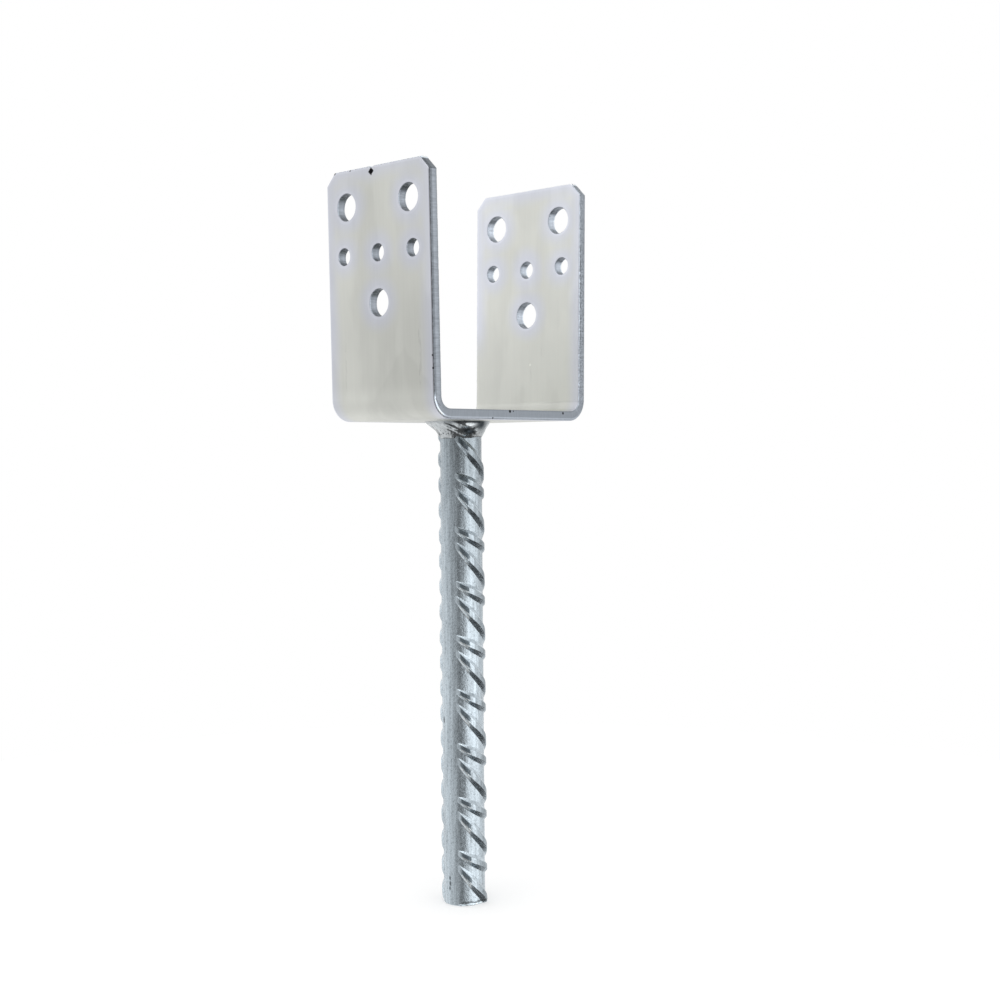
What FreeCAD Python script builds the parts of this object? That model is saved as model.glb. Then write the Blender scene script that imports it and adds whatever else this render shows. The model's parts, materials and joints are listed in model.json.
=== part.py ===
"""Timber post base: a folded strap with a ribbed anchor bar welded under its seat.

The origin is the middle of the seat, where the end of the post rests.
+Z points up along the flanges, X runs from flange to flange, and the bar hangs down -Z.
"""
import FreeCAD, Part
import math
import os
import Sketcher

from FreeCAD import Vector

# Driving dimensions in millimetres and degrees: alias, value, what it measures
DIMENSIONS = [
    ("strap_width", 60.0, "width of the flat strap"),
    ("strap_thickness", 4.0, "thickness of the flat strap"),
    ("seat_width", 80.0, "clear width between the flanges at the seat"),
    ("flange_height", 96.0, "height of a flange above the seat"),
    ("bend_radius", 5.0, "inner radius of the two folds"),
    ("flange_lean", 1.0, "outward lean that each fold springs back to"),
    ("corner_cut", 5.0, "length cut off each top corner along both edges"),
    ("edge_round", 0.4, "rounding of the sheared edges"),
    ("rim_break", 0.3, "bevel at the inner rim of each punched hole"),
    ("bolt_hole_diameter", 11.0, "the three large holes of a flange"),
    ("bolt_hole_spacing", 36.0, "distance between the two upper large holes"),
    ("bolt_hole_drop", 14.7, "upper large holes below the top edge"),
    ("low_hole_drop", 53.8, "single large hole below the top edge"),
    ("nail_hole_diameter", 7.0, "the three small holes of a flange"),
    ("nail_hole_spacing", 20.0, "distance between neighbouring small holes"),
    ("nail_hole_drop", 34.2, "small holes below the top edge"),
    ("bar_length", 200.0, "ribbed bar below the seat plate"),
    ("bar_core_diameter", 17.3, "bar between its ribs"),
    ("rib_height", 1.5, "height of a rib at the middle of its row"),
    ("rib_head_width", 1.9, "flat head of a rib, across the rib"),
    ("rib_flank_angle", 43.0, "slope of a rib's sides from the bar's surface"),
    ("rib_row_spread", 130.0, "angle round the bar that a row of ribs covers"),
    ("rib_tip_dip", 0.12, "how far a rib's tips run out below the bar's surface"),
    ("rib_root", 0.8, "how deep a rib's root reaches into the bar"),
    ("front_rib_pitch", 11.12, "spacing of the front row, where steep and shallow ribs alternate"),
    ("front_rib_start", 15.9, "first front rib, a steep one, below the seat plate"),
    ("shallow_rib_angle", 27.5, "slope of the shallow front ribs from level"),
    ("steep_rib_angle", 46.0, "slope of the steep front ribs from level"),
    ("back_rib_pitch", 10.58, "spacing of the back row, where all ribs are alike"),
    ("back_rib_start", 1.0, "first back rib below the seat plate"),
    ("back_rib_angle", 36.0, "slope of the back ribs from level"),
    ("weld_leg_across", 5.2, "leg of the fillet weld along the seat plate"),
    ("weld_leg_down", 6.4, "leg of the fillet weld along the bar"),
    ("weld_crown", 0.4, "bulge of the fillet weld past its straight slope"),
]

# Sections of a rib: share of the half row at which each one stands, from tip to tip
RIB_STATIONS = (-1.0, -0.5, 0.0, 0.5, 1.0)

# Azimuth of the two rows of ribs, which face the open sides of the folded strap
FRONT_ROW = -90.0
BACK_ROW = 90.0

# Places nearer to each other than this are taken as the same one
NEAR = 0.01

# Expressions that several sketches share
SETBACK = "sizes.bend_radius * tan((90 deg - sizes.flange_lean * 1 deg) / 2)"
FLANGE_TOP = "sizes.flange_height"
BOLT_LEVEL = "sizes.flange_height - sizes.bolt_hole_drop"
NAIL_LEVEL = "sizes.flange_height - sizes.nail_hole_drop"
LOW_LEVEL = "sizes.flange_height - sizes.low_hole_drop"
CORE_RADIUS = "sizes.bar_core_diameter / 2"
ROOT_RADIUS = "sizes.bar_core_diameter / 2 - sizes.rib_root"

# A sketch on the inner face of the +X flange: its x is the strap's width, its y runs up the flange
FLANGE_FACE = ("placement(vector(0; 0; sizes.seat_width / 2);"
               " rotation(vector(1; 0; 0); sizes.flange_lean))")
BAR_END = "placement(vector(0; 0; -sizes.bar_length); rotation(0; 0; 0))"

document = FreeCAD.newDocument("post_base")


def make_sheet():
    """Write the driving dimensions into the document's spreadsheet."""
    sheet = document.addObject("Spreadsheet::Sheet", "sizes")
    for row, (alias, value, note) in enumerate(DIMENSIONS, start=1):
        sheet.set("A%d" % row, note)
        sheet.set("B%d" % row, str(value))
        sheet.setAlias("B%d" % row, alias)
    document.recompute()
    return sheet


def origin_feature(body, role):
    """Return one of the body's own origin planes or axes."""
    return next(item for item in body.Origin.OriginFeatures if item.Role == role)


def new_body(label):
    """Add an empty body with its label."""
    body = document.addObject("PartDesign::Body", label)
    body.Label = label
    return body


def new_sketch(body, name, role, placement=None):
    """Add a sketch on an origin plane of the body, moved by a placement expression."""
    sketch = body.newObject("Sketcher::SketchObject", name)
    sketch.AttachmentSupport = [(origin_feature(body, role), "")]
    sketch.MapMode = "FlatFace"
    if placement:
        sketch.setExpression("AttachmentOffset", placement)
    return sketch


def constrain(sketch, kind, *arguments):
    """Add one constraint to a sketch and return its index."""
    return sketch.addConstraint(Sketcher.Constraint(kind, *arguments))


def bind(sketch, kind, arguments, value, expression):
    """Add a dimension with a starting value and tie it to the sheet."""
    index = constrain(sketch, kind, *arguments, value)
    sketch.setExpression("Constraints[%d]" % index, expression)


def add_polygon(sketch, points):
    """Draw a closed outline of straight lines and return the indices of its lines."""
    closed = points + points[:1]
    lines = [
        sketch.addGeometry(Part.LineSegment(Vector(*start, 0), Vector(*end, 0)), False)
        for start, end in zip(closed, closed[1:])
    ]
    for line, following in zip(lines, lines[1:] + lines[:1]):
        constrain(sketch, "Coincident", line, 2, following, 1)
    return lines


def add_circle(sketch, centre, diameter_name, across, up):
    """Draw one hole of a flange, with its place and diameter tied to the sheet."""
    radius = sizes.get(diameter_name) / 2
    circle = sketch.addGeometry(Part.Circle(Vector(*centre, 0), Vector(0, 0, 1), radius), False)
    bind(sketch, "Diameter", (circle,), 2 * radius, "sizes." + diameter_name)
    if across:
        bind(sketch, "DistanceX", (-1, 1, circle, 3), centre[0], across)
    else:
        constrain(sketch, "PointOnObject", circle, 3, -2)
    bind(sketch, "DistanceY", (-1, 1, circle, 3), centre[1], up)


def bend_setback():
    """Distance from the sharp inner corner of a fold to the end of its arc."""
    turn = math.radians(90 - sizes.flange_lean)
    return sizes.bend_radius * math.tan(turn / 2)


def draw_half_strap(body):
    """Draw the strap's section from the middle of the seat to the top of one flange."""
    sketch = new_sketch(body, "half_section", "XZ_Plane")
    lean = math.radians(sizes.flange_lean)
    thickness, radius = sizes.strap_thickness, sizes.bend_radius
    centre_x = sizes.seat_width / 2 - bend_setback()
    along = Vector(math.sin(lean), math.cos(lean), 0)
    outward = Vector(math.cos(lean), -math.sin(lean), 0)
    centre = Vector(centre_x, radius, 0)
    bend_in = centre + outward * radius
    bend_out = centre + outward * (radius + thickness)
    straight = sizes.flange_height - bend_setback()
    tip_in = bend_in + along * straight
    tip_out = bend_out + along * straight
    seat_end = Vector(centre_x, 0, 0)
    under_end = Vector(centre_x, -thickness, 0)
    quarter, lift = 1.5 * math.pi, 2 * math.pi - lean
    normal = Vector(0, 0, 1)

    seat = sketch.addGeometry(Part.LineSegment(Vector(0, 0, 0), seat_end), False)
    inner_bend = sketch.addGeometry(
        Part.ArcOfCircle(Part.Circle(centre, normal, radius), quarter, lift), False)
    inner_face = sketch.addGeometry(Part.LineSegment(bend_in, tip_in), False)
    top_edge = sketch.addGeometry(Part.LineSegment(tip_in, tip_out), False)
    outer_face = sketch.addGeometry(Part.LineSegment(tip_out, bend_out), False)
    outer_bend = sketch.addGeometry(
        Part.ArcOfCircle(Part.Circle(centre, normal, radius + thickness), quarter, lift), False)
    underside = sketch.addGeometry(Part.LineSegment(under_end, Vector(0, -thickness, 0)), False)
    middle = sketch.addGeometry(Part.LineSegment(Vector(0, -thickness, 0), Vector(0, 0, 0)), False)

    constrain(sketch, "Coincident", seat, 1, -1, 1)
    constrain(sketch, "Horizontal", seat)
    constrain(sketch, "Tangent", seat, 2, inner_bend, 1)
    constrain(sketch, "Tangent", inner_bend, 2, inner_face, 1)
    constrain(sketch, "Perpendicular", inner_face, 2, top_edge, 1)
    constrain(sketch, "Perpendicular", top_edge, 2, outer_face, 1)
    constrain(sketch, "Tangent", outer_face, 2, outer_bend, 2)
    constrain(sketch, "Tangent", outer_bend, 1, underside, 1)
    constrain(sketch, "Coincident", inner_bend, 3, outer_bend, 3)
    constrain(sketch, "Coincident", underside, 2, middle, 1)
    constrain(sketch, "Coincident", middle, 2, seat, 1)
    constrain(sketch, "Vertical", middle)
    bind(sketch, "DistanceX", (seat, 1, seat, 2), centre_x, "sizes.seat_width / 2 - " + SETBACK)
    bind(sketch, "Radius", (inner_bend,), radius, "sizes.bend_radius")
    bind(sketch, "Distance", (inner_face,), straight, "sizes.flange_height - " + SETBACK)
    bind(sketch, "Distance", (middle,), thickness, "sizes.strap_thickness")
    bind(sketch, "Angle", (-1, 1, inner_face, 1), math.pi / 2 - lean,
         "90 deg - sizes.flange_lean * 1 deg")
    return sketch


def draw_flange_holes(body):
    """Draw the six punched holes of a flange on its inner face."""
    sketch = new_sketch(body, "flange_holes", "YZ_Plane", FLANGE_FACE)
    bolt_level = sizes.flange_height - sizes.bolt_hole_drop
    nail_level = sizes.flange_height - sizes.nail_hole_drop
    low_level = sizes.flange_height - sizes.low_hole_drop
    for side in (-1, 1):
        bolt_at = (side * sizes.bolt_hole_spacing / 2, bolt_level)
        nail_at = (side * sizes.nail_hole_spacing, nail_level)
        bolt_across = "%d * sizes.bolt_hole_spacing / 2" % side
        nail_across = "%d * sizes.nail_hole_spacing" % side
        add_circle(sketch, bolt_at, "bolt_hole_diameter", bolt_across, BOLT_LEVEL)
        add_circle(sketch, nail_at, "nail_hole_diameter", nail_across, NAIL_LEVEL)
    add_circle(sketch, (0, nail_level), "nail_hole_diameter", "", NAIL_LEVEL)
    add_circle(sketch, (0, low_level), "bolt_hole_diameter", "", LOW_LEVEL)
    return sketch


def draw_corner_cuts(body):
    """Draw the two triangles that come off the top corners of a flange."""
    sketch = new_sketch(body, "corner_cuts", "YZ_Plane", FLANGE_FACE)
    half, top, cut = sizes.strap_width / 2, sizes.flange_height, sizes.corner_cut
    for side in (-1, 1):
        corner = (side * half, top)
        inboard = (side * (half - cut), top)
        below = (side * half, top - cut)
        along_top, slope, down_side = add_polygon(sketch, [corner, inboard, below])
        constrain(sketch, "Horizontal", along_top)
        constrain(sketch, "Vertical", down_side)
        bind(sketch, "DistanceX", (-1, 1, along_top, 1), side * half,
             "%d * sizes.strap_width / 2" % side)
        bind(sketch, "DistanceY", (-1, 1, along_top, 1), top, FLANGE_TOP)
        bind(sketch, "Distance", (along_top,), cut, "sizes.corner_cut")
        bind(sketch, "Distance", (down_side,), cut, "sizes.corner_cut")
    return sketch


def cut_through(body, name, sketch):
    """Cut a sketch through the +X flange, away from the middle of the seat."""
    pocket = body.newObject("PartDesign::Pocket", name)
    pocket.Profile = sketch
    pocket.Type = "ThroughAll"
    pocket.Reversed = True
    return pocket


def hole_rims(shape):
    """Names of the circular edges where the punched holes meet the flanges' inner faces."""
    lean = math.radians(sizes.flange_lean)
    outward = Vector(math.cos(lean), 0, -math.sin(lean))
    reach = sizes.seat_width / 2 * math.cos(lean)
    names = []
    for number, edge in enumerate(shape.Edges, start=1):
        if not isinstance(edge.Curve, Part.Circle) or not edge.isClosed():
            continue
        centre = edge.Curve.Center
        distance = outward.dot(Vector(abs(centre.x), centre.y, centre.z))
        if abs(distance - reach) < NEAR:
            names.append("Edge%d" % number)
    return names


def sheared_edges(shape):
    """Names of the long edges round the strap's outline, without those of the holes."""
    half = sizes.strap_width / 2
    names = []
    for number, edge in enumerate(shape.Edges, start=1):
        if isinstance(edge.Curve, Part.Circle) and edge.isClosed():
            continue
        box = edge.BoundBox
        if box.YLength < NEAR and abs(abs(box.YMin) - half) < NEAR:
            names.append("Edge%d" % number)
    return names


def make_bracket():
    """Fold the strap, punch its flanges and break its edges."""
    body = new_body("folded_strap")
    section = draw_half_strap(body)
    half = body.newObject("PartDesign::Pad", "half_strap")
    half.Profile = section
    half.SideType = "Symmetric"
    half.setExpression("Length", "sizes.strap_width")
    document.recompute()

    holes = cut_through(body, "punched_holes", draw_flange_holes(body))
    corners = cut_through(body, "cut_corners", draw_corner_cuts(body))
    document.recompute()

    both = body.newObject("PartDesign::Mirrored", "both_halves")
    both.Originals = [half, holes, corners]
    both.MirrorPlane = (origin_feature(body, "YZ_Plane"), [""])
    both.Refine = True
    body.Tip = both
    document.recompute()

    rims = body.newObject("PartDesign::Chamfer", "hole_rims")
    rims.Base = (both, hole_rims(both.Shape))
    rims.setExpression("Size", "sizes.rim_break")
    document.recompute()

    edges = body.newObject("PartDesign::Fillet", "sheared_edges")
    edges.Base = (rims, sheared_edges(rims.Shape))
    edges.setExpression("Radius", "sizes.edge_round")
    document.recompute()
    return body


def rib_station(body, name, row, station, start, angle):
    """Draw one cross section of a rib: a trapezoid that rises from the bar's surface.

    Its x points straight out of the bar, its y runs across the rib and its plane cuts
    the rib squarely, where the rib has turned by the station's share of half its row.
    """
    azimuth = "(%s + %s * sizes.rib_row_spread / 2)" % (row, station)
    fall = ("(%s + %s * sizes.rib_row_spread / 2 * pi / 180 * sizes.bar_core_diameter / 2"
            " * tan(%s * 1 deg))" % (start, station, angle))
    turn = "rotation(vector(0; 0; 1); %s) * rotation(vector(1; 0; 0); 90 - %s)" % (azimuth, angle)
    sketch = new_sketch(body, name, "XY_Plane", "placement(vector(0; 0; -%s); %s)" % (fall, turn))

    head_share = 1 - station ** 2
    height = (sizes.rib_height + sizes.rib_tip_dip) * head_share - sizes.rib_tip_dip
    height_text = "((sizes.rib_height + sizes.rib_tip_dip) * %s - sizes.rib_tip_dip)" % head_share
    core, root = sizes.bar_core_diameter / 2, sizes.rib_root
    half_head = sizes.rib_head_width / 2
    half_foot = half_head + (height + root) / math.tan(math.radians(sizes.rib_flank_angle))
    outline = [(core - root, -half_foot), (core + height, -half_head),
               (core + height, half_head), (core - root, half_foot)]
    lower, head, upper, foot = add_polygon(sketch, outline)
    constrain(sketch, "Symmetric", head, 1, head, 2, -1)
    constrain(sketch, "Symmetric", foot, 1, foot, 2, -1)
    bind(sketch, "DistanceX", (-1, 1, head, 1), core + height, CORE_RADIUS + " + " + height_text)
    bind(sketch, "DistanceX", (-1, 1, foot, 1), core - root, ROOT_RADIUS)
    bind(sketch, "DistanceY", (head, 1, head, 2), 2 * half_head, "sizes.rib_head_width")
    bind(sketch, "DistanceY", (foot, 2, foot, 1), 2 * half_foot,
         "sizes.rib_head_width + 2 * (%s + sizes.rib_root)"
         " / tan(sizes.rib_flank_angle * 1 deg)" % height_text)
    return sketch


def make_rib_row(body, name, row, start, angle, pitch):
    """Loft one crescent rib of a row and repeat it down the bar.

    The last rib may run past the bar's end, where it is cut off with the bar.
    """
    stations = [
        rib_station(body, "%s_section_%d" % (name, number), row, station, start, angle)
        for number, station in enumerate(RIB_STATIONS, start=1)
    ]
    rib = body.newObject("PartDesign::AdditiveLoft", name + "_rib")
    rib.Profile = stations[0]
    rib.Sections = stations[1:]
    document.recompute()
    pattern = body.newObject("PartDesign::LinearPattern", name + "_ribs")
    pattern.Originals = [rib]
    pattern.Direction = (origin_feature(body, "Z_Axis"), [""])
    pattern.Reversed = True
    pattern.Mode = "Spacing"
    pattern.setExpression("Offset", pitch)
    pattern.setExpression("Occurrences",
                          "floor((sizes.bar_length - %s) / (%s) + 1.5)" % (start, pitch))
    body.Tip = pattern
    document.recompute()
    return pattern


def draw_disc(body, name, diameter, expression, placement=None):
    """Draw a circle round the bar's axis."""
    sketch = new_sketch(body, name, "XY_Plane", placement)
    circle = sketch.addGeometry(Part.Circle(Vector(0, 0, 0), Vector(0, 0, 1), diameter / 2), False)
    constrain(sketch, "Coincident", circle, 3, -1, 1)
    bind(sketch, "Diameter", (circle,), diameter, expression)
    return sketch


def trim(body, name, disc, upward):
    """Cut away all that stands past the plane of a disc."""
    pocket = body.newObject("PartDesign::Pocket", name)
    pocket.Profile = disc
    pocket.Type = "ThroughAll"
    pocket.Reversed = upward
    document.recompute()


def make_bar():
    """Roll the ribbed bar, cut square at both ends."""
    body = new_body("anchor_bar")
    body.setExpression("Placement.Base.z", "-sizes.strap_thickness")
    core = body.newObject("PartDesign::Pad", "core")
    core.Profile = draw_disc(body, "core_section", sizes.bar_core_diameter,
                             "sizes.bar_core_diameter")
    core.Reversed = True
    core.setExpression("Length", "sizes.bar_length")
    document.recompute()

    pair_pitch = "2 * sizes.front_rib_pitch"
    shallow_start = "(sizes.front_rib_start + sizes.front_rib_pitch)"
    make_rib_row(body, "steep", FRONT_ROW, "sizes.front_rib_start",
                 "sizes.steep_rib_angle", pair_pitch)
    make_rib_row(body, "shallow", FRONT_ROW, shallow_start, "sizes.shallow_rib_angle", pair_pitch)
    make_rib_row(body, "back", BACK_ROW, "sizes.back_rib_start",
                 "sizes.back_rib_angle", "sizes.back_rib_pitch")

    # The discs that trim the ends reach well past the ribs
    reach = sizes.bar_core_diameter + 4 * sizes.rib_height
    reach_text = "sizes.bar_core_diameter + 4 * sizes.rib_height"
    top = draw_disc(body, "top_cut", reach, reach_text)
    trim(body, "trimmed_top", top, True)
    end = draw_disc(body, "end_cut", reach, reach_text, BAR_END)
    trim(body, "trimmed_end", end, False)
    return body


def draw_weld_section(body):
    """Draw the weld's section: two legs in the corner and a slightly bulging face."""
    sketch = new_sketch(body, "weld_section", "XZ_Plane")
    across, down = sizes.weld_leg_across, sizes.weld_leg_down
    core = sizes.bar_core_diameter / 2
    root = core - sizes.rib_root
    crown_height = sizes.weld_crown
    plate_toe = Vector(core + across, 0, 0)
    bar_toe = Vector(core, -down, 0)
    slope = plate_toe - bar_toe
    crown = (plate_toe + bar_toe) * 0.5 + Vector(slope.y, -slope.x, 0).normalize() * crown_height
    face_radius = (slope.Length ** 2 / 4 + crown_height ** 2) / (2 * crown_height)

    face = sketch.addGeometry(Part.Arc(bar_toe, crown, plate_toe), False)
    top = sketch.addGeometry(Part.LineSegment(plate_toe, Vector(root, 0, 0)), False)
    inside = sketch.addGeometry(Part.LineSegment(Vector(root, 0, 0), Vector(root, -down, 0)), False)
    foot = sketch.addGeometry(Part.LineSegment(Vector(root, -down, 0), bar_toe), False)
    for line, following in ((face, top), (top, inside), (inside, foot), (foot, face)):
        constrain(sketch, "Coincident", line, 2, following, 1)
    constrain(sketch, "Horizontal", top)
    constrain(sketch, "Horizontal", foot)
    constrain(sketch, "Vertical", inside)
    constrain(sketch, "PointOnObject", top, 1, -1)
    bind(sketch, "DistanceX", (-1, 1, inside, 1), root, ROOT_RADIUS)
    bind(sketch, "DistanceX", (-1, 1, face, 1), core, CORE_RADIUS)
    bind(sketch, "DistanceX", (-1, 1, face, 2), core + across,
         CORE_RADIUS + " + sizes.weld_leg_across")
    bind(sketch, "DistanceY", (inside, 2, inside, 1), down, "sizes.weld_leg_down")
    bind(sketch, "Radius", (face,), face_radius,
         "((sizes.weld_leg_across ^ 2 + sizes.weld_leg_down ^ 2) / 4 + sizes.weld_crown ^ 2)"
         " / (2 * sizes.weld_crown)")
    return sketch


def make_weld(bar):
    """Lay the fillet weld round the top of the bar and shape it to the bar's ribs."""
    body = new_body("weld_ring")
    body.setExpression("Placement.Base.z", "-sizes.strap_thickness")
    section = draw_weld_section(body)
    ring = body.newObject("PartDesign::Revolution", "fillet")
    ring.Profile = section
    ring.ReferenceAxis = (section, ["V_Axis"])
    ring.Angle = 360
    document.recompute()
    weld = document.addObject("Part::Cut", "weld_bead")
    weld.Label = "weld_bead"
    weld.Base = body
    weld.Tool = bar
    document.recompute()
    return weld


def check_document(nodes):
    """Stop if any object failed or any node is not one valid solid."""
    for item in document.Objects:
        faults = [state for state in item.State if state in ("Invalid", "Error")]
        if faults:
            raise RuntimeError("%s is %s" % (item.Label, ", ".join(faults)))
    for node in nodes:
        shape = node.Shape
        if shape.isNull() or not shape.isValid() or len(shape.Solids) != 1:
            raise RuntimeError("%s is not one valid solid" % node.Label)


def write_nodes(nodes):
    """Write each node's shape to its own STEP file."""
    os.makedirs("parts", exist_ok=True)
    for node in nodes:
        node.Shape.exportStep(os.path.join("parts", node.Label + ".step"))
        print("%-14s %10.1f mm3, %d faces" % (node.Label, node.Shape.Volume, len(node.Shape.Faces)))


sizes = make_sheet()
strap = make_bracket()
anchor = make_bar()
weld_bead = make_weld(anchor)
document.recompute()
check_document([strap, anchor, weld_bead])
write_nodes([strap, anchor, weld_bead])
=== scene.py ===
"""Dressed scene of a timber post base: a folded zinc coated strap on a ribbed bar.

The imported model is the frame. Each of its nodes is stood for by a finer piece that keeps
to the same sizes, and a pale studio with a camera is set up round them.
"""
import json
import math

import bpy
import numpy as np
from bpy.props import FloatProperty, FloatVectorProperty, PointerProperty
from mathutils import Matrix, Vector
from mathutils.geometry import delaunay_2d_cdt


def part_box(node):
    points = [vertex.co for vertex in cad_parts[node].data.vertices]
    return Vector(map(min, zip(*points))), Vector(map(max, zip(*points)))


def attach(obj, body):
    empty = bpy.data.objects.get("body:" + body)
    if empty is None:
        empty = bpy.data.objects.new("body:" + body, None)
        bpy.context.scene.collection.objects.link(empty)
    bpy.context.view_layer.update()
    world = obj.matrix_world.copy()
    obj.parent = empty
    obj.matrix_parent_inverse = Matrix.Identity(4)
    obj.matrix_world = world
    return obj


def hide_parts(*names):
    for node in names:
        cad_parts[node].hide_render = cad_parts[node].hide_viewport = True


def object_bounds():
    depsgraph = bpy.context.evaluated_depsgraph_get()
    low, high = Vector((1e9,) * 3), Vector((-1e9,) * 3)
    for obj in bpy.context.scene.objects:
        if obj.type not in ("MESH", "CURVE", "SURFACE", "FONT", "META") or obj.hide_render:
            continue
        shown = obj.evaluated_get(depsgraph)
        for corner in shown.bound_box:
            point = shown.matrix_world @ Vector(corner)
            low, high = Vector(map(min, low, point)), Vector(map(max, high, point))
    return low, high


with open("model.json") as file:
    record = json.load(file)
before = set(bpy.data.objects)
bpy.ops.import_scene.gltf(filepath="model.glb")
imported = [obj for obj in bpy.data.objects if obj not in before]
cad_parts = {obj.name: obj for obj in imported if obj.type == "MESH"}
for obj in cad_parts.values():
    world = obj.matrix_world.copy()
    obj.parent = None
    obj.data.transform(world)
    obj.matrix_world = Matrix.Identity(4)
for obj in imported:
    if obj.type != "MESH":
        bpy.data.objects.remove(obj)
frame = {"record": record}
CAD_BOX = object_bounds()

bl_info = {
    "name": "Post base",
    "version": (1, 0, 0),
    "blender": (4, 5, 0),
    "location": "View3D > Sidebar > Post base",
    "description": "Makes a zinc coated timber post base and its studio",
    "category": "Object",
}

MM = 0.001


# Settings

def length(name, description, default):
    """A length setting in metres."""
    return FloatProperty(name=name, description=description, default=default, unit="LENGTH",
                         precision=5)


def angle(name, description, degrees):
    """An angle setting, given in degrees and kept in radians."""
    return FloatProperty(name=name, description=description, default=math.radians(degrees),
                         unit="ROTATION")


def colour(name, description, default):
    """A colour setting, with linear red, green and blue."""
    return FloatVectorProperty(name=name, description=description, default=default, size=3,
                               subtype="COLOR", min=0.0, max=1.0)


def share(name, description, default):
    """A setting between nothing and all."""
    return FloatProperty(name=name, description=description, default=default, min=0.0, max=1.0,
                         subtype="FACTOR")


class PostBaseStrap(bpy.types.PropertyGroup):
    """Sizes and colours of the folded strap."""

    width: length("Width", "Width of the flat strap", 60 * MM)
    thickness: length("Thickness", "Thickness of the strap", 4 * MM)
    seat: length("Seat", "Clear width between the flanges at the seat", 80 * MM)
    flange: length("Flange", "Height of a flange above the seat", 96 * MM)
    bend: length("Bend", "Inner radius of the folds", 5 * MM)
    lean: angle("Lean", "Outward lean of the flanges", 1.0)
    corner: length("Corner cut", "Length cut off each top corner", 5 * MM)
    nick: length("Nick", "Depth of the nick at the top of the left flange", 0.5 * MM)
    unevenness: length("Unevenness", "Depth of the faint waves of the faces", 0.035 * MM)
    face: colour("Face", "Zinc in the middle of the faces", (0.755, 0.765, 0.72))
    rim: colour("Rim", "Bluish zinc near edges and holes", (0.74, 0.76, 0.83))
    sheared: colour("Sheared", "Zinc on the cut edges", (0.31, 0.34, 0.38))
    pit: colour("Pits", "Bottom of the small pits", (0.05, 0.055, 0.065))
    mark: colour("Marks", "Dark dots and the mark under the nick", (0.012, 0.012, 0.014))
    roughness: share("Roughness", "Roughness of the faces", 0.42)


class PostBaseBar(bpy.types.PropertyGroup):
    """Sizes and colours of the ribbed anchor bar."""

    core: length("Core", "Diameter of the bar between its ribs", 17.3 * MM)
    rib_height: length("Rib height", "Height of a rib at the middle of its row", 1.5 * MM)
    rib_head: length("Rib head", "Width of a rib's flat head", 1.9 * MM)
    rib_flank: angle("Rib flank", "Slope of a rib's sides", 43.0)
    rib_spread: angle("Rib spread", "Angle round the bar that a row of ribs covers", 130.0)
    rib_round: length("Rib rounding", "Rounding where a rib meets the bar", 0.08 * MM)
    zinc: colour("Zinc", "Zinc on the bar", (0.55, 0.625, 0.68))
    # Colour of the real dull zinc and of the painted shade on the ribs
    dull_and_shade: colour("Dull zinc", "Darker zinc in the hollows", (0.16, 0.2, 0.23))
    bright: colour("Brightest zinc", "No zinc on the bar is lighter", (0.92, 0.965, 0.99))
    pit: colour("Pits", "Dark pits and marks", (0.05, 0.06, 0.07))
    roughness: share("Roughness", "Roughness of the bar", 0.2)


class PostBaseWeld(bpy.types.PropertyGroup):
    """Sizes and colours of the fillet weld."""

    across: length("Across", "Mean leg of the weld along the plate", 4.9 * MM)
    across_skew: length("Skew across", "How far the leg grows towards one side", 1.4 * MM)
    down: length("Down", "Mean leg of the weld along the bar", 6.9 * MM)
    down_skew: length("Skew down", "How far the leg grows towards one side", 0.6 * MM)
    lumps: length("Lumps", "Height of the weld's lumps", 0.42 * MM)
    zinc: colour("Zinc", "Zinc on the weld", (0.67, 0.71, 0.73))
    # Painted shade in the hollows, under the plate and in the shade spots mixes towards this
    # colour, as do the dark toes and pits
    hollow: colour("Hollows", "Dark hollows and toes of the weld", (0.055, 0.068, 0.078))
    roughness: share("Roughness", "Roughness of the weld", 0.17)


class PostBaseStudio(bpy.types.PropertyGroup):
    """Camera, floor and light of the studio."""

    lens: FloatProperty(name="Lens", description="Focal length of the camera in millimetres",
                        default=55.05)
    azimuth: angle("Azimuth", "Where the camera stands round the object", -46.43)
    elevation: angle("Elevation", "How far the camera looks down", 1.659)
    roll: angle("Roll", "How far the camera is turned about its axis", -0.449)
    stand: FloatVectorProperty(name="Stand", description="Place of the camera", size=3,
                               unit="LENGTH", precision=5,
                               default=(-448.43 * MM, -448.75 * MM, -18.30 * MM))
    floor: length("Floor", "Radius of the pale floor", 0.42)
    level: FloatProperty(name="Level", description="Strength of the room's soft light",
                         default=0.85)
    lift: FloatProperty(name="Lift", description="Light added to the floor for the camera",
                        default=0.26)
    lamp: FloatProperty(name="Lamp", description="Power of the soft lamp above in watts",
                        default=3.0)


# Shading

class Field:
    """A socket on which plain arithmetic adds Math nodes."""

    def __init__(self, shader, socket):
        self.shader = shader
        self.socket = socket

    def __add__(self, other):
        return self.shader.math("ADD", self, other)

    def __sub__(self, other):
        return self.shader.math("SUBTRACT", self, other)

    def __rsub__(self, other):
        return self.shader.math("SUBTRACT", other, self)

    def __mul__(self, other):
        return self.shader.math("MULTIPLY", self, other)

    def __truediv__(self, other):
        return self.shader.math("DIVIDE", self, other)

    def __abs__(self):
        return self.shader.math("ABSOLUTE", self)

    __radd__ = __add__
    __rmul__ = __mul__

    def smaller(self, other):
        return self.shader.math("MINIMUM", self, other)

    def larger(self, other):
        return self.shader.math("MAXIMUM", self, other)

    def swing(self, amount):
        """Turn noise between 0 and 1 into a swing of this width round 0."""
        return (self - 0.5) * amount

    def ramp(self, start, end):
        """A smooth step from 0 at start to 1 at end, which may also lie below start."""
        return self.shader.field("ShaderNodeMapRange", 0, {"interpolation_type": "SMOOTHSTEP"},
                                 {0: self, 1: start, 2: end})

    def band(self, start, full, last, end):
        """1 between full and last, with smooth steps down to 0 at start and end."""
        return self.ramp(start, full) * self.ramp(end, last)


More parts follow.
